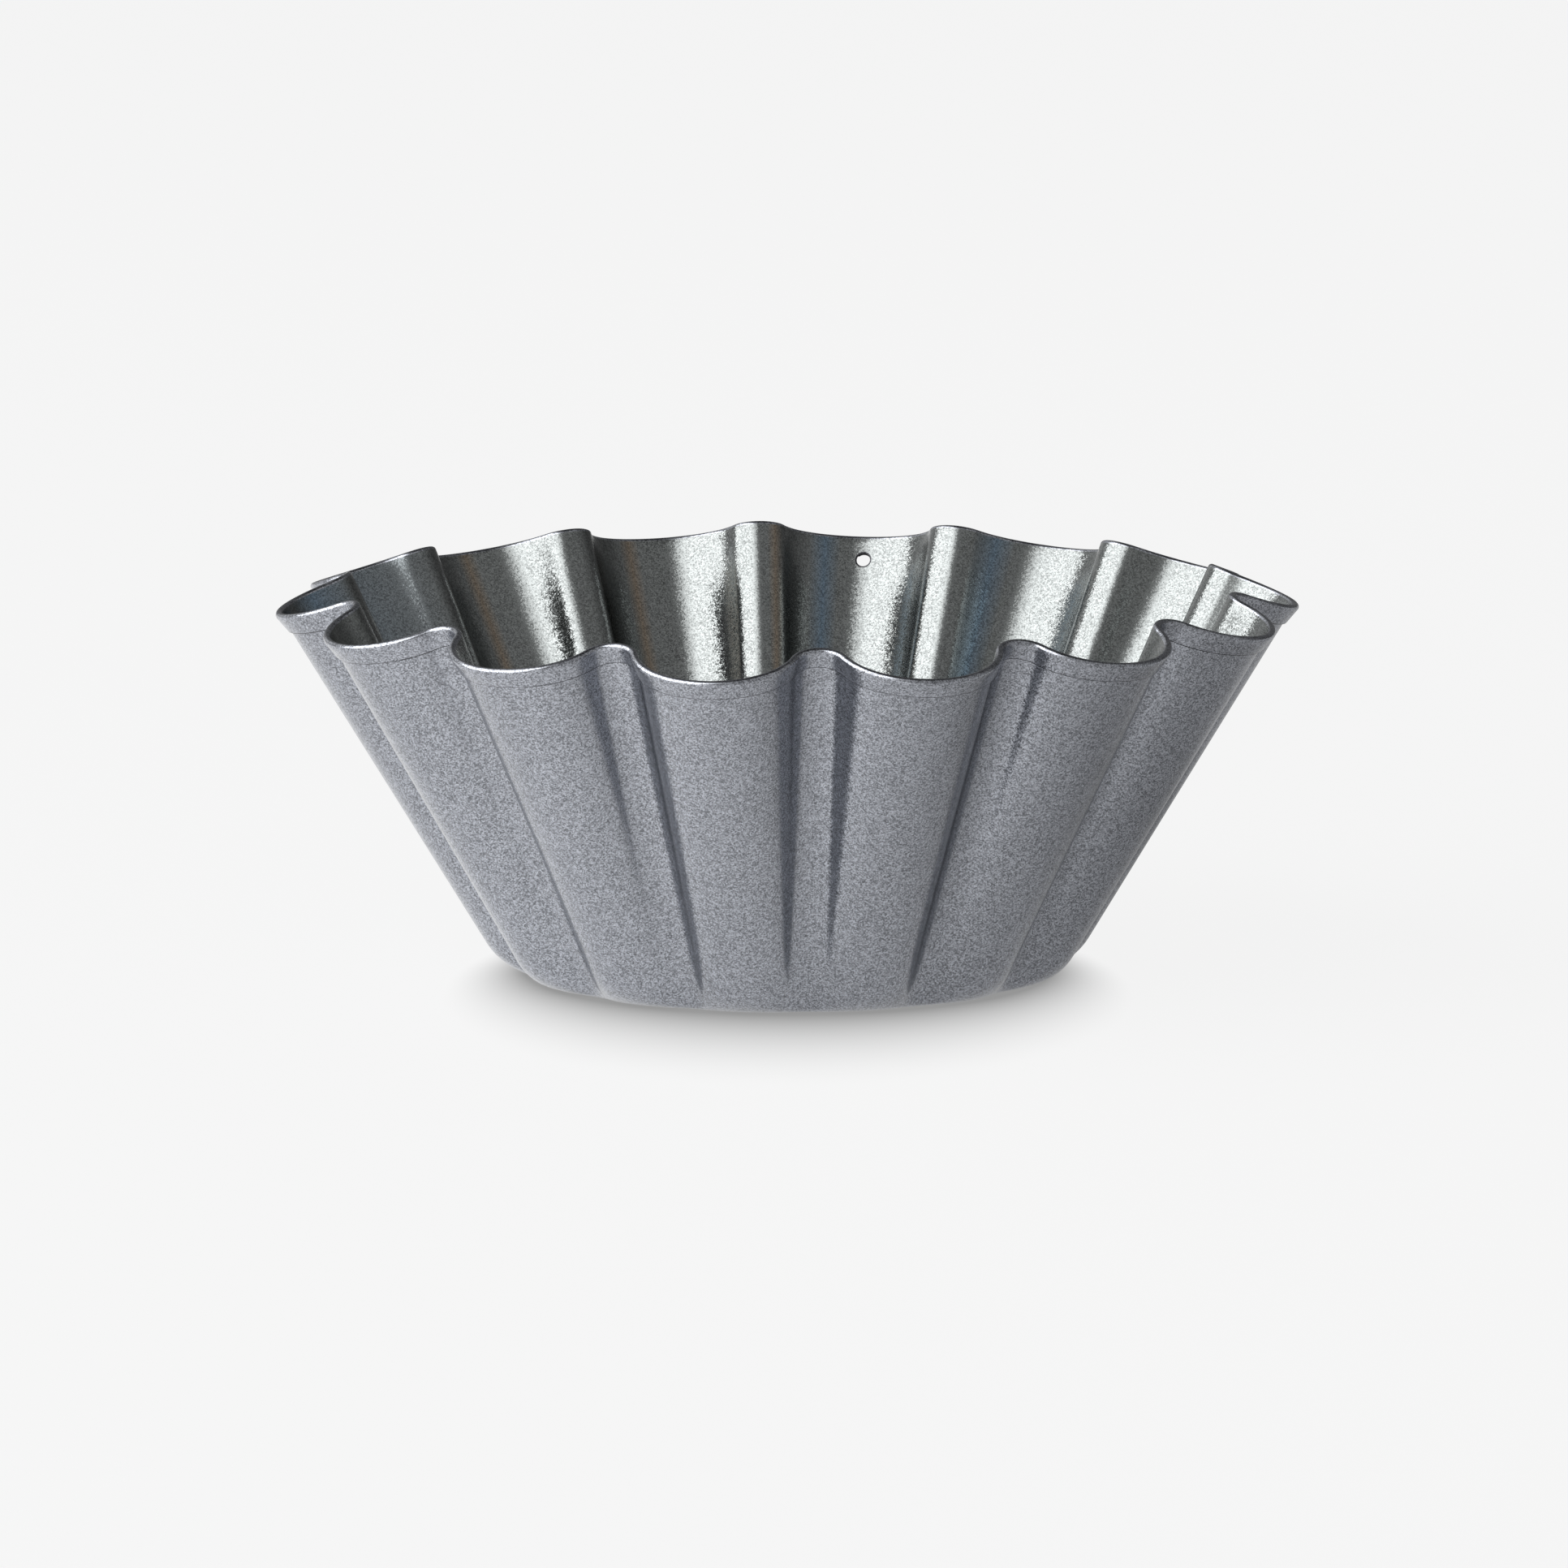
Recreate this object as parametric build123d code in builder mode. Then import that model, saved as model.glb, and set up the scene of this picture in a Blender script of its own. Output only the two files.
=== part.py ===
# Fluted brioche tin, pressed from one sheet of steel and hemmed at the rim. Millimetres.
# The origin is the centre of the underside of the base. +Z is up, and +Y points at the lobe
# that has the hanging hole.
from build123d import *
from math import atan2, cos, degrees, pi, sin, sqrt, tan
import os

os.makedirs("parts", exist_ok=True)

# Flutes: broad round lobes that stand out, with a narrow crease between each two
flute_count = 14

sheet = 0.5

# The rounded corner between the flat base and the wall, as the radius of the outer skin on a lobe.
# It is tighter in the creases, so the edge of the flat base is nearly round: this is how deep its
# flutes are.
lobe_corner = 14.0
flat_flute_depth = 0.26

# The outline at the base, where the straight wall would meet the table without the corner
base_lobe_radius = 60.8
base_flute_depth = 5.6

# The rim: largest radius, depth of the flutes, the height of its lowest points, on the lobes, and
# how far it rises from there to its highest points, in the creases
rim_radius = 110.0
rim_flute_depth = 13.15
rim_lobe_height = 78.65
rim_rise = 5.2

# A flute is drawn with one arc on its lobe and one in its crease. This is the crease's share of
# their two radii together.
base_crease_share = 0.362
rim_crease_share = 0.261

# The hem: the sheet is folded outward and down. It is wide at the fold and pressed flat at its edge
hem_height = 4.2
hem_fold_width = 1.1
hem_edge_width = 0.6

# The hanging hole, punched through the wall just under the rim. It reaches up behind the hem's
# edge, which is cut back round it by a margin.
hole_diameter = 3.2
hole_drop = 4.6
hem_notch_margin = 0.3

# How far the bodies that cut run past the part, and the number of steps that a corner is drawn in
overrun = 4.0
corner_steps = 7

# Worked out from the sizes above
half_flute = pi / flute_count
base_crease_radius = base_lobe_radius - base_flute_depth
rim_crease_radius = rim_radius - rim_flute_depth
rim_crease_height = rim_lobe_height + rim_rise
lobe_lean = atan2(rim_radius - hem_fold_width - base_lobe_radius, rim_lobe_height)
crease_lean = atan2(rim_crease_radius - hem_fold_width - base_crease_radius, rim_crease_height)
flat_lobe_radius = base_lobe_radius - lobe_corner * (1 / cos(lobe_lean) - tan(lobe_lean))
flat_crease_radius = flat_lobe_radius - flat_flute_depth
crease_corner = (base_crease_radius - flat_crease_radius) / (1 / cos(crease_lean) - tan(crease_lean))
rim_slope = rim_rise / rim_flute_depth
above_rim = max(rim_lobe_height, rim_crease_height) + overrun
hole_height = rim_lobe_height - hole_drop
hole_reach = base_lobe_radius + hole_height * tan(lobe_lean)
hole_plane = Plane((0, hole_reach, hole_height), z_dir=(0, cos(lobe_lean), -sin(lobe_lean)))


def line_radius(base_radius, lean, corner, depth, height):
    """Radius at a height on a line down the middle of a lobe or crease.

    depth is how far the skin lies under the outer one. The line is straight and leans outward,
    down to the corner, where it follows the corner's arc to the flat of the base.
    """
    straight = base_radius - depth / cos(lean) + height * tan(lean)
    arc_radius = corner - depth
    if height >= corner - arc_radius * sin(lean):
        return straight
    centre = base_radius + corner * (tan(lean) - 1 / cos(lean))
    return centre + sqrt(max(arc_radius**2 - (corner - height) ** 2, 0))


def line_radii(depth, height):
    """Radii at a height in the middle of a lobe and of a crease."""
    lobe_radius = line_radius(base_lobe_radius, lobe_lean, lobe_corner, depth, height)
    crease_radius = line_radius(base_crease_radius, crease_lean, crease_corner, depth, height)
    return lobe_radius, crease_radius


def fluted_outline(lobe_radius, crease_radius, crease_arc):
    """Closed line of an arc on each lobe and an arc in each crease, each tangent to the next."""
    crease_centre = crease_radius + crease_arc
    reach = crease_centre * cos(half_flute)
    lobe_arc = (lobe_radius**2 + crease_centre**2 - 2 * lobe_radius * reach - crease_arc**2) / (
        2 * (lobe_radius + crease_arc - reach)
    )
    lobe_centre = lobe_radius - lobe_arc
    lobe_turn = degrees(atan2(crease_centre * sin(half_flute), reach - lobe_centre))
    crease_turn = lobe_turn - degrees(half_flute)
    for flute in range(flute_count):
        lobe_angle = 90 + flute * 360 / flute_count
        crease_angle = lobe_angle + 180 / flute_count
        CenterArc(
            Vector(lobe_centre, 0).rotate(Axis.Z, lobe_angle),
            lobe_arc,
            lobe_angle - lobe_turn,
            2 * lobe_turn,
        )
        CenterArc(
            Vector(crease_centre, 0).rotate(Axis.Z, crease_angle),
            crease_arc,
            crease_angle + 180 - crease_turn,
            2 * crease_turn,
        )


def crease_arc_for(lobe_radius, crease_radius, height):
    """Radius of a crease's arc, which has its share of the two radii of a flute together.

    The sum of the two follows from where the tips of the lobe and the crease lie, half a flute
    apart: it is the positive root of curved * sum**2 + 2 * straight * sum = tips_apart**2.
    """
    share = base_crease_share + (rim_crease_share - base_crease_share) * height / rim_crease_height
    turn = cos(half_flute)
    tips_apart = sqrt(lobe_radius**2 + crease_radius**2 - 2 * lobe_radius * crease_radius * turn)
    curved = 2 * share * (1 - share) * (1 - turn)
    straight = (1 - share) * (lobe_radius - crease_radius * turn)
    straight += share * (lobe_radius * turn - crease_radius)
    return share * (sqrt(straight**2 + curved * tips_apart**2) - straight) / curved


def wall_section(height, depth):
    """Fluted face at a height, for the skin that lies at a depth under the outer one."""
    lobe_radius, crease_radius = line_radii(depth, height)
    crease_arc = crease_arc_for(lobe_radius, crease_radius, height) + depth
    with BuildSketch(Plane.XY.offset(height)) as section:
        with BuildLine():
            fluted_outline(lobe_radius, crease_radius, crease_arc)
        make_face()
    return section.sketch


def fluted_body(depth, top):
    """Add the body under one skin of the sheet, from the flat of the base up to a level."""
    corners = ((lobe_corner, lobe_lean), (crease_corner, crease_lean))
    corner_top = max(corner - (corner - depth) * sin(lean) for corner, lean in corners)
    rise = corner_top - depth
    heights = [
        depth + rise * (1 - cos(pi / 2 * step / corner_steps)) for step in range(corner_steps + 1)
    ]
    loft([wall_section(height, depth) for height in heights])
    loft([wall_section(heights[-1], depth), wall_section(top, depth)], ruled=True)


def hem_section(height):
    """Fluted face at a height, for the outer side of the hem."""
    widths = []
    for rim_height in (rim_lobe_height, rim_crease_height):
        up_the_hem = (height - rim_height + hem_height) / hem_height
        widths.append(hem_edge_width + (hem_fold_width - hem_edge_width) * up_the_hem)
    lobe_radius, crease_radius = line_radii(0, height)
    crease_arc = crease_arc_for(lobe_radius, crease_radius, height) - widths[1]
    with BuildSketch(Plane.XY.offset(height)) as section:
        with BuildLine():
            fluted_outline(lobe_radius + widths[0], crease_radius + widths[1], crease_arc)
        make_face()
    return section.sketch


def under_rim_cone(drop):
    """Face that turns into the body under a cone along the rim, lowered by drop."""
    reach = rim_radius + overrun
    with BuildSketch(Plane.XZ) as profile:
        with BuildLine():
            Polyline(
                (0, -overrun),
                (reach, -overrun),
                (reach, rim_lobe_height - rim_slope * overrun - drop),
                (0, rim_lobe_height + rim_slope * rim_radius - drop),
                close=True,
            )
        make_face()
    return profile.sketch


# The hem, a band round the top of the wall
with BuildPart() as hem:
    loft([hem_section(rim_lobe_height - hem_height - overrun), hem_section(above_rim)], ruled=True)
    revolve(under_rim_cone(hem_height), axis=Axis.Z, mode=Mode.SUBTRACT)
    with BuildSketch(hole_plane):
        Circle(hole_diameter / 2 + hem_notch_margin)
    extrude(amount=overrun, both=True, mode=Mode.SUBTRACT)

# The room inside the tin
with BuildPart() as room:
    fluted_body(sheet, above_rim + overrun)

# The tin itself: the hemmed outside, hollowed out, and trimmed along the rim
with BuildPart() as fluted_shell:
    fluted_body(0, above_rim)
    add(hem.part)
    add(room.part, mode=Mode.SUBTRACT)
    revolve(under_rim_cone(0), axis=Axis.Z, mode=Mode.INTERSECT)
    with BuildSketch(hole_plane):
        Circle(hole_diameter / 2)
    extrude(amount=overrun, both=True, mode=Mode.SUBTRACT)

fluted_shell.part.label = "fluted_shell"
export_step(fluted_shell.part, "parts/fluted_shell.step")
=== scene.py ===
"""A fluted brioche tin of grey coated steel, on a pale floor in soft studio light."""
from math import atan, cos, pi, radians, sin, sqrt, tan

import bpy
import numpy as np
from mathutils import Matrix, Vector


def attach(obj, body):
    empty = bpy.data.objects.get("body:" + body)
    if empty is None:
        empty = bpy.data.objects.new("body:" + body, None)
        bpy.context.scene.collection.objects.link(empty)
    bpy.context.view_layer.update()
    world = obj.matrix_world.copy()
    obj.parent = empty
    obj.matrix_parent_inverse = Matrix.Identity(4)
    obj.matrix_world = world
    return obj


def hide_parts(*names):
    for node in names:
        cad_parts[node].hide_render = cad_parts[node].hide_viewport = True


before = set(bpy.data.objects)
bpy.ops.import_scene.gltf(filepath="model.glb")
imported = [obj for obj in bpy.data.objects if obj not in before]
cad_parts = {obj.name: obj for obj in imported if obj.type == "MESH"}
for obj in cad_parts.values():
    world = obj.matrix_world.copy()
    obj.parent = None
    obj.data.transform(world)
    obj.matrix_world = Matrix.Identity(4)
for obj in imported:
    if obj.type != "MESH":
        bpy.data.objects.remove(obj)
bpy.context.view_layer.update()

MM = 0.001

# The tin: its flutes, its sheet, and the outer skin of its wall at the base and at the rim. The wall
# would meet the table at the base's radii without the rounded corner, and its lines are straight.
FLUTES = 14
SHEET = 0.5 * MM
BASE_LOBE_RADIUS = 60.8 * MM
BASE_CREASE_RADIUS = 55.2 * MM
RIM_LOBE_RADIUS = 108.9 * MM
RIM_LOBE_HEIGHT = 78.65 * MM
RIM_FLUTE_DEPTH = 13.15 * MM
RIM_RISE = 5.2 * MM

# The wall runs between its outlines at the table and at this level, with a crease's arc in both
LEVEL = 84.0 * MM
CREASE_ARC = 6.0 * MM

# The rounded corner between the flat base and the wall is tighter in the creases. On it, the radius
# of a crease's arc is a share of the arcs of a lobe and a crease together.
LOBE_CORNER = 14.0 * MM
CREASE_CORNER = 4.0 * MM
CREASE_SHARE = 0.362

# The rim's top lies on a cone, which passes this radius at this height and climbs into the creases.
# The sheet is folded outward and down along it. The flap's outer side stands off the wall by an offset
# at its edge, and behind it is a narrow gap.
CONE_RADIUS = 109.3 * MM
CONE_HEIGHT = 78.85 * MM
FOLD_RADIUS = 0.83 * MM
FLAP_LENGTH = 3.95 * MM
FLAP_EDGE_OFFSET = 0.56 * MM

# The hanging hole, punched through the wall and the flap's edge, in the lobe at +Y. Its edges are
# rounded, and they and a narrow ring round them are painted near black, as shade.
HOLE_RADIUS = 1.5 * MM
HOLE_ROUNDING = 0.24 * MM
HOLE_SHADE_RING = 0.14 * MM
HOLE_HEIGHT = 74.05 * MM

# How finely the mesh is divided. The window is the block of columns and rows round the hole. Of the
# evenly spaced columns, those closer to it than a share of their spacing are left out.
COLUMNS_PER_FLUTE = 48
WALL_ROWS = 20
WINDOW_REACH = 2.3 * MM
WINDOW_COLUMNS = 24
WINDOW_ROWS = 16
WINDOW_GAP_SHARE = 0.25
WINDOW_RING_SHARES = (0.4, 0.75, 1.0)
TOP_ROWS = 2
CORNER_ROWS = 9
FOLD_ROWS = 13
FLAP_ROWS = 5
EDGE_ROWS = 6
HOLE_ROWS = 3
BASE_RING_SHARES = (0.12, 0.4, 0.7, 0.9)

# A place round the tin is a number of flutes, counted from the middle of the hole's lobe. On each side
# of a lobe's middle, its arc ends at ARC_PLACE, and the crease's middle is at CREASE_PLACE. Slopes are
# taken over a small step, and the fold's level is found in a few rounds.
ARC_PLACE = 0.33
CREASE_PLACE = 0.5
PLACE_STEP = 0.0001
FOLD_ROUNDS = 8

HALF_FLUTE = pi / FLUTES
LOBE_LEAN = atan((RIM_LOBE_RADIUS - BASE_LOBE_RADIUS) / RIM_LOBE_HEIGHT)
CREASE_LEAN = atan(
    (RIM_LOBE_RADIUS - RIM_FLUTE_DEPTH - BASE_CREASE_RADIUS) / (RIM_LOBE_HEIGHT + RIM_RISE)
)
CONE_SLOPE = RIM_RISE / RIM_FLUTE_DEPTH

# The finishes of the mesh, by the number of their material. The cut edges' finish is a painted shade.
INSIDE, OUTSIDE, SHADED_CUT_EDGE = 0, 1, 2

# Coatings: colours are linear. Each grain has a random colour, which makes it lighter or darker by up
# to a share and tilts it. The middle is the mean of these colours.
OUTSIDE_COLOUR = (0.311, 0.323, 0.353)
OUTSIDE_ROUGHNESS = 0.23
OUTSIDE_GRAIN_SHARE = 0.58
OUTSIDE_TILT = 0.06
INSIDE_COLOUR = (0.187, 0.197, 0.195)
INSIDE_ROUGHNESS = 0.2
INSIDE_GRAIN_SHARE = 0.45
INSIDE_TILT = 0.14
# The cut edges of the flap and the hole are painted near black as shade, not in the metal's own colour
EDGE_SHADE_COLOUR = (0.05, 0.05, 0.055)
EDGE_ROUGHNESS = 0.4
GRAINS_PER_METRE = 4000.0
GRAIN_MIDDLE = (0.5, 0.5, 0.5)

# Painted reflections of the dark creases inside, as tinted streaks up the wall: place round the tin, half
# width as a place, colour
REFLECTION_TINT_BLUE = (0.14, 0.19, 0.24)
REFLECTION_TINT_PALE_BLUE = (0.172, 0.196, 0.214)
REFLECTION_TINT_BROWN = (0.228, 0.19, 0.15)
PAINTED_REFLECTION_STREAKS = (
    (3.7, 0.13, REFLECTION_TINT_BLUE),
    (2.8, 0.3, REFLECTION_TINT_PALE_BLUE),
    (1.95, 0.05, REFLECTION_TINT_BROWN),
    (1.1, 0.05, REFLECTION_TINT_BROWN),
    (0.42, 0.04, REFLECTION_TINT_BROWN),
    (0.18, 0.07, REFLECTION_TINT_BLUE),
    (-0.69, 0.07, REFLECTION_TINT_BLUE),
)

# The floor. The camera sees a share of it as a plain light, and reflections see a share of it paler
# on the left, where the softbox lights it, than on the right.
WHITE = (1.0, 1.0, 1.0)
FLOOR_SIZE = 20.0
FLOOR_COLOUR = (0.75, 0.75, 0.75)
FLOOR_ROUGHNESS = 0.95
FLOOR_LIGHT = (0.92, 0.92, 0.92)
FLOOR_CAMERA_SHARE = 0.96
FLOOR_GLOSSY_SHARE = 0.6
FLOOR_LEFT = -80.0 * MM
FLOOR_RIGHT = 120.0 * MM
FLOOR_LEFT_LIGHT = 1.25
FLOOR_RIGHT_LIGHT = 0.42

# The tin's soft shadow on the floor. It fades from the foot of the tin out to an ellipse, which is
# drawn out toward the camera. The weight is how much the way to the ellipse counts in this, and
# NEARLY_ZERO keeps the sum of both ways above 0.
SHADOW_FOOT = 56.8 * MM
SHADOW_FORWARD = 32.5 * MM
SHADOW_HALF_WIDTH = 74.0 * MM
SHADOW_HALF_LENGTH = 112.0 * MM
SHADOW_DEPTH = 0.66
SHADOW_EDGE_WEIGHT = 1.4
SHADOW_POWER = 1.6
NEARLY_ZERO = 0.0001

# The room's light. Directions round the tin are azimuths: 0 is toward the camera, and they grow to
# the camera's right. Each pair is where a change begins and where it ends. Overhead, it holds the
# heights of directions of length 1.
ROOM_MIDDLE = 0.46
ROOM_LEFT = 0.8
ROOM_LEFT_AZIMUTHS = (radians(-100.0), radians(-160.0))
ROOM_RIGHT = 0.14
ROOM_RIGHT_AZIMUTHS = (radians(70.0), radians(120.0))
ROOM_BEHIND_SHARE = 0.2
ROOM_BEHIND_AZIMUTHS = (radians(-150.0), radians(-165.0))
ROOM_ABOVE_SHARE = 0.2
ROOM_ABOVE_HEIGHTS = (sin(radians(55.0)), sin(radians(70.0)))
GLOW = 0.9
GLOW_LEFT_AZIMUTHS = (radians(-110.0), radians(-100.0))
GLOW_RIGHT_AZIMUTHS = (radians(-30.0), radians(-8.0))

# The softbox, on the front left
SOFTBOX_RADIANCE = 3.0
SOFTBOX_AZIMUTH = radians(-66.0)
SOFTBOX_ELEVATION = radians(40.0)
SOFTBOX_DISTANCE = 1600.0 * MM
SOFTBOX_WIDTH = 2560.0 * MM
SOFTBOX_HEIGHT = 1560.0 * MM

# The camera, as fitted to the photograph. Its azimuth is counted from -Y.
CAMERA_DISTANCE = 3180.0 * MM
CAMERA_AZIMUTH = radians(9.07)
CAMERA_ELEVATION = radians(8.932)
CAMERA_ASIDE = -0.88 * MM
CAMERA_HEIGHT = 40.47 * MM
CAMERA_SIGHT = 100.0
SENSOR_WIDTH = 36.0
FOCAL_PIXELS = 18255.0
FRAME_PIXELS = 1932.0


def flute_ring(place, lobe_radius, crease_radius, crease_arc):
    """Points of a fluted outline of an arc on each lobe and an arc in each crease."""
    flute = np.round(place)
    local = place - flute
    side = np.where(local < 0, -1.0, 1.0)
    local = np.abs(local)
    crease_centre = crease_radius + crease_arc
    reach = crease_centre * cos(HALF_FLUTE)
    lobe_arc = (lobe_radius**2 + crease_centre**2 - 2 * lobe_radius * reach - crease_arc**2) / (
        2 * (lobe_radius + crease_arc - reach)
    )
    lobe_centre = lobe_radius - lobe_arc
    lobe_turn = np.arctan2(crease_centre * sin(HALF_FLUTE), reach - lobe_centre)
    crease_turn = lobe_turn - HALF_FLUTE
    on_lobe = np.minimum(local / ARC_PLACE, 1.0) * lobe_turn
    from_crease = np.clip((CREASE_PLACE - local) / (CREASE_PLACE - ARC_PLACE), 0.0, 1.0)
    in_crease = HALF_FLUTE + from_crease * crease_turn
    x_lobe = lobe_centre + lobe_arc * np.cos(on_lobe)
    y_lobe = lobe_arc * np.sin(on_lobe)
    x_crease = crease_centre * cos(HALF_FLUTE) - crease_arc * np.cos(in_crease)
    y_crease = crease_centre * sin(HALF_FLUTE) - crease_arc * np.sin(in_crease)
    lobe = local <= ARC_PLACE
    x = np.where(lobe, x_lobe, x_crease)
    y = np.where(lobe, y_lobe, y_crease) * side
    angle = pi / 2 + flute * 2 * HALF_FLUTE
    return np.stack([x * np.cos(angle) - y * np.sin(angle), x * np.sin(angle) + y * np.cos(angle)], -1)


def base_ring(place):
    return flute_ring(place, BASE_LOBE_RADIUS, BASE_CREASE_RADIUS, CREASE_ARC)


def level_ring(place):
    lobe = BASE_LOBE_RADIUS + LEVEL * tan(LOBE_LEAN)
    crease = BASE_CREASE_RADIUS + LEVEL * tan(CREASE_LEAN)
    return flute_ring(place, lobe, crease, CREASE_ARC)


def unit(vectors):
    return vectors / np.linalg.norm(vectors, axis=-1, keepdims=True)


def wall(place, height):
    """Outer skin of the straight wall: points, outward normals, and the direction up the wall."""
    place, height = np.broadcast_arrays(place, height)
    share = (height / LEVEL)[..., None]
    base, level = base_ring(place), level_ring(place)
    point = np.concatenate([base + (level - base) * share, height[..., None]], -1)
    along = base_ring(place + PLACE_STEP) - base_ring(place - PLACE_STEP)
    level_along = level_ring(place + PLACE_STEP) - level_ring(place - PLACE_STEP)
    along = along + (level_along - along) * share
    along = unit(np.concatenate([along, np.zeros_like(share)], -1))
    up = unit(np.concatenate([level - base, np.full_like(share, LEVEL)], -1))
    normal = unit(np.cross(along, up))
    return point, normal, unit(np.cross(normal, along))


def line_radius(base_radius, lean, corner, depth, height):
    """Radius at a height on a line down the middle of a lobe or crease, on a skin at a depth."""
    arc_radius = corner - depth
    if height >= corner - arc_radius * sin(lean):
        return base_radius - depth / cos(lean) + height * tan(lean)
    centre = base_radius + corner * (tan(lean) - 1 / cos(lean))
    return centre + sqrt(max(arc_radius**2 - (corner - height) ** 2, 0))


def corner_arc(lobe, crease):
    """Radius of a crease's arc on the corner, where its outline has these radii.

    The arcs of a lobe and a crease together are the positive root of
    curved * sum**2 + 2 * straight * sum = tips_apart**2.
    """
    turn = cos(HALF_FLUTE)
    tips_apart = sqrt(lobe**2 + crease**2 - 2 * lobe * crease * turn)
    curved = 2 * CREASE_SHARE * (1 - CREASE_SHARE) * (1 - turn)
    straight = (1 - CREASE_SHARE) * (lobe - crease * turn) + CREASE_SHARE * (lobe * turn - crease)
    return CREASE_SHARE * (sqrt(straight**2 + curved * tips_apart**2) - straight) / curved


def corner_ring(place, depth, turn_share):
    """Points of the rounded corner, from the flat base at 0 to the wall at 1, on a skin at a depth."""
    top = LOBE_CORNER - (LOBE_CORNER - depth) * sin(LOBE_LEAN)
    height = depth + (top - depth) * (1 - cos(pi / 2 * turn_share))
    lobe = line_radius(BASE_LOBE_RADIUS, LOBE_LEAN, LOBE_CORNER, depth, height)
    crease = line_radius(BASE_CREASE_RADIUS, CREASE_LEAN, CREASE_CORNER, depth, height)
    ring = flute_ring(place, lobe, crease, corner_arc(lobe, crease) + depth)
    return np.concatenate([ring, np.full((len(place), 1), height)], -1)


def fold_level(place):
    """Height on the wall's outer skin that the centre of the rim's fold lies beside."""
    level = np.full(place.shape, CONE_HEIGHT)
    for _ in range(FOLD_ROUNDS):
        point, normal, _up = wall(place, level)
        centre = point + (FOLD_RADIUS - SHEET) * normal
        rim = CONE_HEIGHT + CONE_SLOPE * (CONE_RADIUS - np.linalg.norm(centre[..., :2], axis=-1))
        level = level + rim - FOLD_RADIUS - centre[..., 2]
    return level


def hole_frame():
    """How far one unit of place reaches along the wall at the hole, and the rise of the wall there."""
    left, _normal, _up = wall(np.array(-PLACE_STEP), np.array(HOLE_HEIGHT))
    right, _normal, up = wall(np.array(PLACE_STEP), np.array(HOLE_HEIGHT))
    return np.linalg.norm(right - left) / (2 * PLACE_STEP), up[2]


PLACE_REACH, WALL_RISE = hole_frame()
WINDOW_PLACE = WINDOW_REACH / PLACE_REACH
WINDOW_LOW = HOLE_HEIGHT - WINDOW_REACH * WALL_RISE
WINDOW_HIGH = HOLE_HEIGHT + WINDOW_REACH * WALL_RISE


def columns():
    """Places round the tin where the mesh has a column of points, closer together at the hole."""
    even = np.arange(FLUTES * COLUMNS_PER_FLUTE) / COLUMNS_PER_FLUTE - CREASE_PLACE
    fine = np.linspace(-WINDOW_PLACE, WINDOW_PLACE, WINDOW_COLUMNS + 1)
    clear = np.abs(even) > WINDOW_PLACE + WINDOW_GAP_SHARE / COLUMNS_PER_FLUTE
    return np.sort(np.concatenate([even[clear], fine]))


def wall_heights(top):
    """Heights of the wall's rows between the corner and the rim, one row of heights after another."""
    foot = np.full_like(top, LOBE_CORNER * (1 - sin(LOBE_LEAN)))
    below = np.linspace(0, 1, WALL_ROWS + 1)
    beside = np.linspace(0, 1, WINDOW_ROWS + 1)[1:]
    above = np.linspace(0, 1, TOP_ROWS + 1)[1:]
    rows = [foot + (WINDOW_LOW - foot) * share for share in below]
    rows += [np.full_like(top, WINDOW_LOW + (WINDOW_HIGH - WINDOW_LOW) * share) for share in beside]
    rows += [WINDOW_HIGH + (top - WINDOW_HIGH) * share for share in above]
    return rows


def skin_rows(place, heights, depth):
    """Rows of points of the skin at a depth in the sheet, from near the base's middle up the wall."""
    base_edge = corner_ring(place, depth, 0.0)
    rows = [base_edge * np.array([share, share, 1.0]) for share in BASE_RING_SHARES]
    rows += [corner_ring(place, depth, share) for share in np.linspace(0, 1, CORNER_ROWS + 1)[:-1]]
    for height in heights:
        point, normal, _up = wall(place, height)
        rows.append(point - depth * normal)
    return rows


def flap_lengths(place, top):
    """Length of the flap down from the fold. The hole's upper part is punched out of its edge."""
    across = place * PLACE_REACH
    reach = np.sqrt(np.maximum(HOLE_RADIUS**2 - across**2, 0))
    over_hole = (top - HOLE_HEIGHT) / WALL_RISE - reach
    return np.where(np.abs(across) < HOLE_RADIUS, np.minimum(over_hole, FLAP_LENGTH), FLAP_LENGTH)


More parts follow.
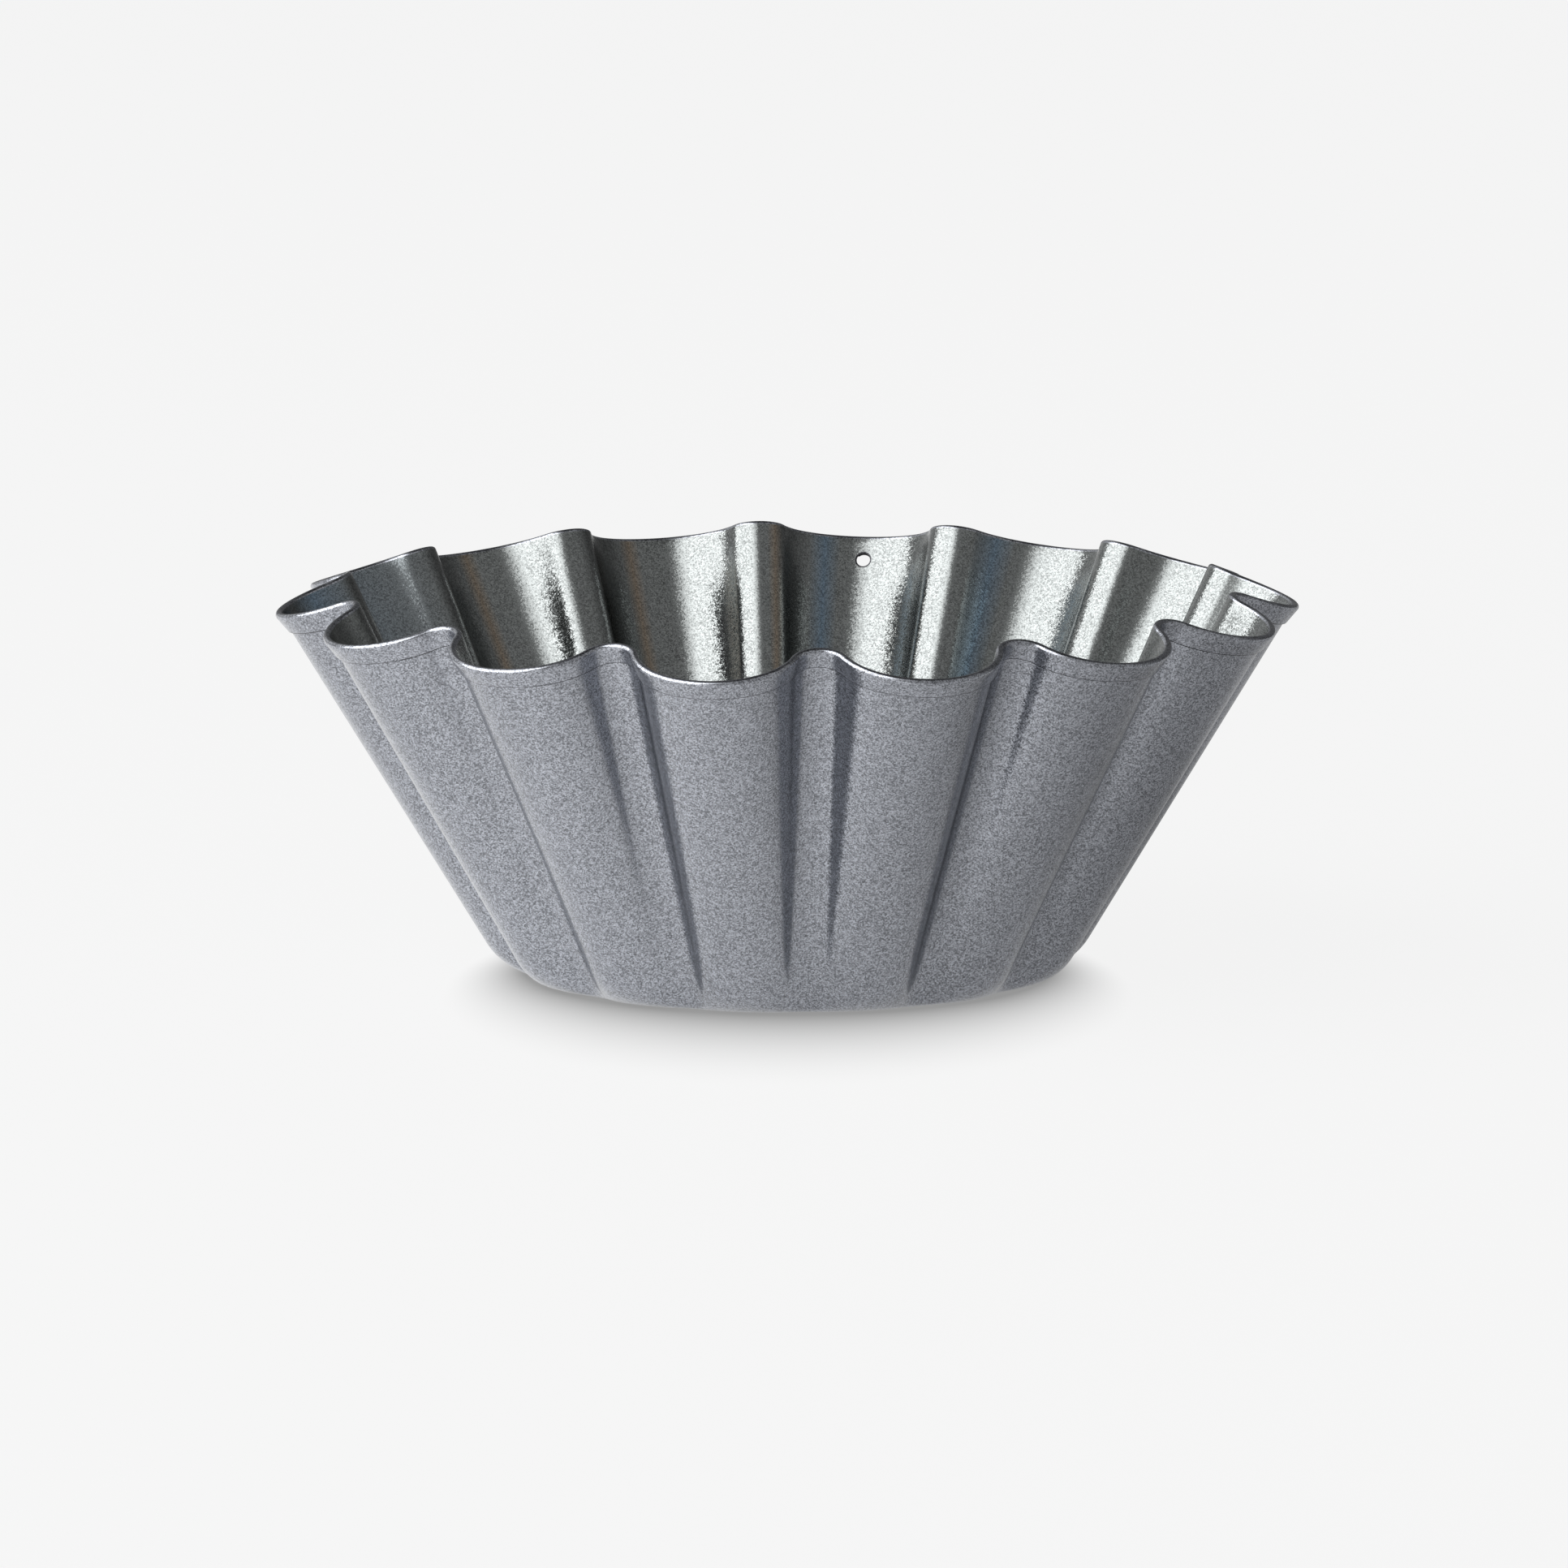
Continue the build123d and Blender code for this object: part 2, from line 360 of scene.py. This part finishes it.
def rim_rows(place, top):
    """Rows over the fold, down the flap, round its edge and up behind it, each with its finish."""
    rim_point, rim_normal, rim_up = wall(place, top)
    centre = rim_point + (FOLD_RADIUS - SHEET) * rim_normal
    half = SHEET / 2
    flap = flap_lengths(place, top) - half
    start = 2 * FOLD_RADIUS - SHEET - half
    slope = (FLAP_EDGE_OFFSET - half - start) / (FLAP_LENGTH - half)

    def fold_row(radius, angle):
        """Points round the fold, from the wall's side at 0 to the flap's side at half a turn."""
        return centre + radius * (sin(angle) * rim_up - cos(angle) * rim_normal)

    def sheet_middle(down):
        """How far out from the wall the middle of the flap's sheet lies, at a length down the flap."""
        return start + slope * down

    def off_wall(down, out):
        """Points at a length down from the fold and a distance out from the wall."""
        point, normal, _up = wall(place, top - down * rim_up[:, 2])
        return point + out[:, None] * normal

    rows = [(fold_row(FOLD_RADIUS, angle), OUTSIDE) for angle in np.linspace(0, pi, FOLD_ROWS + 1)[1:]]
    for share in np.linspace(0, 1, FLAP_ROWS + 1)[1:]:
        rows.append((off_wall(flap * share, sheet_middle(flap * share) + half), OUTSIDE))
    # Round the flap's cut edge, painted near black as shade
    for angle in np.linspace(0, pi, EDGE_ROWS + 1)[1:-1]:
        points = off_wall(flap + half * sin(angle), sheet_middle(flap) + half * cos(angle))
        rows.append((points, SHADED_CUT_EDGE))
    for share in np.linspace(1, 0, FLAP_ROWS + 1):
        rows.append((off_wall(flap * share, sheet_middle(flap * share) - half), OUTSIDE))
    for angle in np.linspace(pi, 0, EDGE_ROWS + 1)[1:]:
        rows.append((fold_row(FOLD_RADIUS - SHEET, angle), OUTSIDE))
    return rows


def window_border(first, last):
    """Rows of the wall and columns of the points round the window's border."""
    low, high = WALL_ROWS, WALL_ROWS + WINDOW_ROWS
    border = [(low, column) for column in range(first, last)]
    border += [(row, last) for row in range(low, high)]
    border += [(high, column) for column in range(last, first, -1)]
    border += [(row, first) for row in range(high, low, -1)]
    return border


def hole_rings(border_place, border_height):
    """Rings of points from the window's border in to the hole, through the sheet and out again."""
    turn = np.arctan2((border_height - HOLE_HEIGHT) / WALL_RISE, border_place * PLACE_REACH)
    rounded = HOLE_RADIUS + HOLE_ROUNDING
    # The narrow ring round the rounded edge is painted near black as shade, like the edge
    shade_ring = rounded + HOLE_SHADE_RING

    def ring(radius, depth, share=1.0):
        """Points a share of the way from the window's border to a circle, at a depth in the sheet."""
        circle_place = radius * np.cos(turn) / PLACE_REACH
        circle_height = HOLE_HEIGHT + radius * np.sin(turn) * WALL_RISE
        point, normal, _up = wall(
            border_place + (circle_place - border_place) * share,
            border_height + (circle_height - border_height) * share,
        )
        return point - depth * normal

    bends = np.linspace(0, pi / 2, HOLE_ROWS + 1)[1:]
    radii = [rounded - HOLE_ROUNDING * sin(bend) for bend in bends]
    depths = [HOLE_ROUNDING * (1 - cos(bend)) for bend in bends]
    rings = [ring(shade_ring, SHEET, share) for share in WINDOW_RING_SHARES]
    rings.append(ring(rounded, SHEET))
    rings += [ring(radius, SHEET - depth) for radius, depth in zip(radii, depths)]
    rings += [ring(radius, depth) for radius, depth in zip(radii[::-1], depths[::-1])]
    rings.append(ring(rounded, 0.0))
    rings += [ring(shade_ring, 0.0, share) for share in WINDOW_RING_SHARES[::-1]]
    return rings


class Skin:
    """Points of a mesh, numbered from 0, and its faces, each with its finish."""

    def __init__(self):
        self.points = []
        self.count = 0
        self.faces = []
        self.finishes = []

    def add_points(self, points):
        """Add points and give their numbers."""
        self.points.append(points)
        self.count += len(points)
        return np.arange(self.count - len(points), self.count)

    def add_faces(self, faces, finish):
        self.faces.extend(faces.tolist())
        self.finishes.extend([finish] * len(faces))

    def add_strip(self, lower, upper, finish, kept=slice(None)):
        """Faces between two closed loops of points, all round or only the kept ones."""
        faces = np.stack([lower, upper, np.roll(upper, -1), np.roll(lower, -1)], -1)
        self.add_faces(faces[kept], finish)

    def add_fan(self, middle, loop, finish):
        """Faces between a point in the middle and a closed loop round it."""
        number = self.add_points(np.array([middle]))
        self.add_faces(np.stack([np.full_like(loop, number), loop, np.roll(loop, -1)], -1), finish)

    def mesh(self, name):
        mesh = bpy.data.meshes.new(name)
        mesh.from_pydata(np.concatenate(self.points).tolist(), [], self.faces)
        mesh.polygons.foreach_set("use_smooth", [True] * len(self.faces))
        mesh.polygons.foreach_set("material_index", self.finishes)
        mesh.update()
        return mesh


def tin_mesh():
    """The sheet as one closed skin: inside from the base up, over the rim and flap, and down outside."""
    place = columns()
    top = fold_level(place)
    heights = wall_heights(top)
    rows = [(points, INSIDE) for points in skin_rows(place, heights, SHEET)]
    inside_foot = len(rows) - len(heights)
    rows += rim_rows(place, top)
    rows += [(points, OUTSIDE) for points in skin_rows(place, heights[:-1], 0.0)[::-1]]
    outside_foot = len(rows) - 1 - inside_foot
    skin = Skin()
    loops = [skin.add_points(points) for points, _finish in rows]

    # All round, but for the window on both sides of the wall
    first = int(np.argmin(np.abs(place + WINDOW_PLACE)))
    last = first + WINDOW_COLUMNS
    beside_window = np.delete(np.arange(len(place)), slice(first, last))
    window_top = WALL_ROWS + WINDOW_ROWS
    window_rows = {
        *range(inside_foot + WALL_ROWS, inside_foot + window_top),
        *range(outside_foot - window_top, outside_foot - WALL_ROWS),
    }
    for row in range(len(rows) - 1):
        finish = max(rows[row][1], rows[row + 1][1])
        kept = beside_window if row in window_rows else slice(None)
        skin.add_strip(loops[row], loops[row + 1], finish, kept)

    # The window, with the hole in it
    border = window_border(first, last)
    border_place = np.array([place[column] for _row, column in border])
    border_height = np.array([heights[row][column] for row, column in border])
    rings = [skin.add_points(points) for points in hole_rings(border_place, border_height)]
    inside_border = np.array([loops[inside_foot + row][column] for row, column in border])
    outside_border = np.array([loops[outside_foot - row][column] for row, column in border])
    rings = [inside_border, *rings, outside_border]
    # The hole's rounded edges and the ring round them get the cut edges' near-black painted shade
    flat = len(WINDOW_RING_SHARES)
    finishes = [INSIDE] * flat + [SHADED_CUT_EDGE] * (len(rings) - 1 - 2 * flat) + [OUTSIDE] * flat
    for outer, inner, finish in zip(rings[:-1], rings[1:], finishes):
        skin.add_strip(outer, inner, finish)

    skin.add_fan([0.0, 0.0, SHEET], loops[0], INSIDE)
    skin.add_fan([0.0, 0.0, 0.0], loops[-1][::-1], OUTSIDE)
    return skin.mesh("tin")


class Nodes:
    """Short ways to add and link the nodes of one tree."""

    # The mix node has sockets for each kind of value. These are the ones for colours.
    MIX_FIRST, MIX_SECOND, MIX_RESULT = 6, 7, 2

    def __init__(self, owner):
        owner.use_nodes = True
        self.tree = owner.node_tree

    def __getitem__(self, name):
        return self.tree.nodes[name]

    def add(self, kind, inputs=None, **settings):
        node = self.tree.nodes.new(kind)
        for key, value in settings.items():
            setattr(node, key, value)
        for key, value in (inputs or {}).items():
            self.put(node, key, value)
        return node

    def put(self, node, key, value):
        """Link a socket to an input, or set the input to a value. Colours are given without alpha."""
        socket = node.inputs[key]
        if isinstance(value, bpy.types.NodeSocket):
            self.tree.links.new(value, socket)
        elif socket.type == "RGBA":
            socket.default_value = (*value, 1.0)
        else:
            socket.default_value = value

    def math(self, operation, *values):
        return self.add("ShaderNodeMath", dict(enumerate(values)), operation=operation).outputs[0]

    def hypotenuse(self, first, second):
        squares = [self.math("POWER", value, 2.0) for value in (first, second)]
        return self.math("SQRT", self.math("ADD", *squares))

    def spread(self, value, start, end, start_value, end_value):
        """Value that changes evenly between two places on a scale, and stays as it is beyond them."""
        inputs = {"Value": value, "From Min": start, "From Max": end}
        inputs |= {"To Min": start_value, "To Max": end_value}
        return self.add("ShaderNodeMapRange", inputs).outputs["Result"]

    def vector(self, operation, *values):
        node = self.add("ShaderNodeVectorMath", dict(enumerate(values)), operation=operation)
        return node.outputs["Vector"]

    def dot(self, vector, direction):
        inputs = {0: vector, 1: direction}
        return self.add("ShaderNodeVectorMath", inputs, operation="DOT_PRODUCT").outputs["Value"]

    def scaled(self, colour, factor):
        inputs = {0: colour, "Scale": factor}
        return self.add("ShaderNodeVectorMath", inputs, operation="SCALE").outputs["Vector"]

    def parts(self, vector):
        return self.add("ShaderNodeSeparateXYZ", {0: vector}).outputs

    def place(self, system):
        return self.add("ShaderNodeTexCoord").outputs[system]

    def blend(self, share, first, second):
        """Blend of two colours."""
        inputs = {0: share, self.MIX_FIRST: first, self.MIX_SECOND: second}
        return self.add("ShaderNodeMix", inputs, data_type="RGBA").outputs[self.MIX_RESULT]

    def emission(self, colour, strength):
        inputs = {"Color": colour, "Strength": strength}
        return self.add("ShaderNodeEmission", inputs).outputs[0]

    def either(self, share, first, second):
        """Blend of two surfaces."""
        return self.add("ShaderNodeMixShader", {0: share, 1: first, 2: second}).outputs[0]


def with_painted_reflections(nodes, place, colour, reflection_streaks):
    """Colour with painted reflections of the dark creases, as soft tinted streaks up the wall."""
    parts = nodes.parts(place)
    turn = nodes.math("ARCTAN2", nodes.math("MULTIPLY", parts[0], -1.0), parts[1])
    for middle, half_width, tint in reflection_streaks:
        aside = nodes.math("ABSOLUTE", nodes.math("SUBTRACT", turn, middle * 2 * HALF_FLUTE))
        share = nodes.spread(aside, 0.0, half_width * 2 * HALF_FLUTE, 1.0, 0.0)
        colour = nodes.blend(share, colour, tint)
    return colour


def coated_metal(name, colour, roughness, grain_share, tilt, reflection_streaks=()):
    """Metal under a thin coating: each of its fine grains has its own tone and tilt. Painted reflection
    streaks of the creases can be laid on its colour.
    """
    made = bpy.data.materials.new(name)
    nodes = Nodes(made)
    shader = nodes["Principled BSDF"]
    place = nodes.place("Object")
    inputs = {"Vector": place, "Scale": GRAINS_PER_METRE}
    grains = nodes.add("ShaderNodeTexVoronoi", inputs).outputs["Color"]
    tone = nodes.spread(nodes.parts(grains)[0], 0.0, 1.0, 1.0 - grain_share, 1.0 + grain_share)
    nodes.put(shader, "Base Color", nodes.scaled(with_painted_reflections(nodes, place, colour, reflection_streaks), tone))
    nodes.put(shader, "Metallic", 1.0)
    nodes.put(shader, "Roughness", roughness)
    normal = nodes.add("ShaderNodeNewGeometry").outputs["Normal"]
    lean = nodes.vector("SUBTRACT", grains, GRAIN_MIDDLE)
    tilted = nodes.vector("MULTIPLY_ADD", lean, (tilt, tilt, tilt), normal)
    nodes.put(shader, "Normal", nodes.vector("NORMALIZE", tilted))
    return made


def place_in_scene(data, name):
    made = bpy.data.objects.new(name, data)
    bpy.context.scene.collection.objects.link(made)
    return made


def toward(azimuth, elevation):
    """Direction from the tin at an azimuth from the camera's and an elevation."""
    turn = CAMERA_AZIMUTH + azimuth
    return Vector((sin(turn) * cos(elevation), -cos(turn) * cos(elevation), sin(elevation)))


def aim(made, back):
    """Point a lamp or camera against a direction."""
    made.rotation_mode = "QUATERNION"
    made.rotation_quaternion = (-back).to_track_quat("-Z", "Y")


TO_CAMERA = toward(0.0, 0.0)
TO_RIGHT = toward(pi / 2, 0.0)


def make_tin():
    """The tin in the scene, in place of its solid."""
    mesh = tin_mesh()
    # The inside's colour carries the painted reflections of the creases as streaks
    inside = (INSIDE_COLOUR, INSIDE_ROUGHNESS, INSIDE_GRAIN_SHARE, INSIDE_TILT, PAINTED_REFLECTION_STREAKS)
    outside = (OUTSIDE_COLOUR, OUTSIDE_ROUGHNESS, OUTSIDE_GRAIN_SHARE, OUTSIDE_TILT)
    # The cut edges' material is a near-black painted shade
    shaded_cut_edge = (EDGE_SHADE_COLOUR, EDGE_ROUGHNESS, OUTSIDE_GRAIN_SHARE, OUTSIDE_TILT)
    mesh.materials.append(coated_metal("coating_inside", *inside))
    mesh.materials.append(coated_metal("coating_outside", *outside))
    mesh.materials.append(coated_metal("shaded_cut_edge", *shaded_cut_edge))
    tin = place_in_scene(mesh, "tin")
    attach(tin, "root")
    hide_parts("fluted_shell")


def make_camera():
    """The camera, which looks at the tin from a little above."""
    data = bpy.data.cameras.new("camera")
    data.sensor_width = SENSOR_WIDTH
    data.lens = SENSOR_WIDTH * FOCAL_PIXELS / FRAME_PIXELS
    data.clip_end = CAMERA_SIGHT
    camera = place_in_scene(data, "camera")
    back = toward(0.0, CAMERA_ELEVATION)
    target = CAMERA_ASIDE * TO_RIGHT + Vector((0.0, 0.0, CAMERA_HEIGHT))
    camera.location = target + CAMERA_DISTANCE * back
    aim(camera, back)
    bpy.context.scene.camera = camera


def shadow_share(nodes, aside, ahead):
    """Share of its light that the floor keeps in the tin's soft shadow."""
    past_foot = nodes.math("SUBTRACT", nodes.hypotenuse(aside, ahead), SHADOW_FOOT)
    past_foot = nodes.math("MAXIMUM", nodes.math("DIVIDE", past_foot, SHADOW_FOOT), 0.0)
    across_share = nodes.math("DIVIDE", aside, SHADOW_HALF_WIDTH)
    along_share = nodes.math("SUBTRACT", ahead, SHADOW_FORWARD)
    along_share = nodes.math("DIVIDE", along_share, SHADOW_HALF_LENGTH)
    to_edge = nodes.math("SUBTRACT", 1.0, nodes.hypotenuse(across_share, along_share))
    to_edge = nodes.math("MULTIPLY", nodes.math("MAXIMUM", to_edge, 0.0), SHADOW_EDGE_WEIGHT)
    whole_way = nodes.math("ADD", nodes.math("ADD", past_foot, to_edge), NEARLY_ZERO)
    left = nodes.math("SUBTRACT", 1.0, nodes.math("DIVIDE", past_foot, whole_way))
    depth = nodes.math("MULTIPLY", nodes.math("POWER", left, SHADOW_POWER), SHADOW_DEPTH)
    return nodes.math("SUBTRACT", 1.0, depth)


def floor_material():
    """Pale floor with the tin's shadow, as it lies under the camera and as metal mirrors it."""
    made = bpy.data.materials.new("floor")
    nodes = Nodes(made)
    shader = nodes["Principled BSDF"]
    nodes.put(shader, "Base Color", FLOOR_COLOUR)
    nodes.put(shader, "Roughness", FLOOR_ROUGHNESS)
    nodes.put(shader, "Specular IOR Level", 0.0)
    place = nodes.place("Object")
    aside = nodes.dot(place, TO_RIGHT)
    ahead = nodes.dot(place, TO_CAMERA)
    seen = nodes.emission(nodes.scaled(FLOOR_LIGHT, shadow_share(nodes, aside, ahead)), 1.0)
    light = nodes.spread(aside, FLOOR_LEFT, FLOOR_RIGHT, FLOOR_LEFT_LIGHT, FLOOR_RIGHT_LIGHT)
    mirrored = nodes.emission(WHITE, light)
    rays = nodes.add("ShaderNodeLightPath").outputs
    by_camera = nodes.math("MULTIPLY", rays["Is Camera Ray"], FLOOR_CAMERA_SHARE)
    by_metal = nodes.math("MAXIMUM", rays["Is Glossy Ray"], rays["Is Transmission Ray"])
    by_metal = nodes.math("MULTIPLY", by_metal, FLOOR_GLOSSY_SHARE)
    surface = nodes.either(by_camera, shader.outputs[0], seen)
    nodes.put(nodes["Material Output"], "Surface", nodes.either(by_metal, surface, mirrored))
    return made


def make_floor():
    """The pale floor, which is no part of the tin."""
    bpy.ops.mesh.primitive_plane_add(size=FLOOR_SIZE)
    floor = bpy.context.object
    floor.name = "floor"
    floor.data.materials.append(floor_material())


def make_room():
    """A dim room: paler on the left, darker on the right, behind and overhead, with a glow at the left."""
    world = bpy.data.worlds.new("world")
    bpy.context.scene.world = world
    nodes = Nodes(world)
    direction = nodes.place("Generated")
    height = nodes.parts(direction)[2]
    turn = nodes.math("ARCTAN2", nodes.dot(direction, TO_RIGHT), nodes.dot(direction, TO_CAMERA))
    light = nodes.spread(turn, *ROOM_LEFT_AZIMUTHS, ROOM_MIDDLE, ROOM_LEFT)
    right = nodes.spread(turn, *ROOM_RIGHT_AZIMUTHS, 1.0, ROOM_RIGHT / ROOM_MIDDLE)
    behind = nodes.spread(turn, *ROOM_BEHIND_AZIMUTHS, 1.0, ROOM_BEHIND_SHARE)
    above = nodes.spread(height, *ROOM_ABOVE_HEIGHTS, 1.0, ROOM_ABOVE_SHARE)
    for share in (right, behind):
        light = nodes.math("MULTIPLY", light, share)
    glow = nodes.spread(turn, *GLOW_RIGHT_AZIMUTHS, GLOW, 0.0)
    glow = nodes.math("MULTIPLY", glow, nodes.spread(turn, *GLOW_LEFT_AZIMUTHS, 0.0, 1.0))
    light = nodes.math("MULTIPLY", nodes.math("ADD", light, glow), above)
    nodes.put(nodes["Background"], "Color", WHITE)
    nodes.put(nodes["Background"], "Strength", light)


def make_softbox():
    """The large softbox, turned to the tin."""
    data = bpy.data.lights.new("softbox", "AREA")
    data.shape = "RECTANGLE"
    data.size = SOFTBOX_WIDTH
    data.size_y = SOFTBOX_HEIGHT
    data.energy = SOFTBOX_RADIANCE * pi * SOFTBOX_WIDTH * SOFTBOX_HEIGHT
    softbox = place_in_scene(data, "softbox")
    back = toward(SOFTBOX_AZIMUTH, SOFTBOX_ELEVATION)
    softbox.location = SOFTBOX_DISTANCE * back
    aim(softbox, back)


make_tin()
make_camera()
make_floor()
make_room()
make_softbox()
bpy.context.scene.view_settings.view_transform = "Standard"
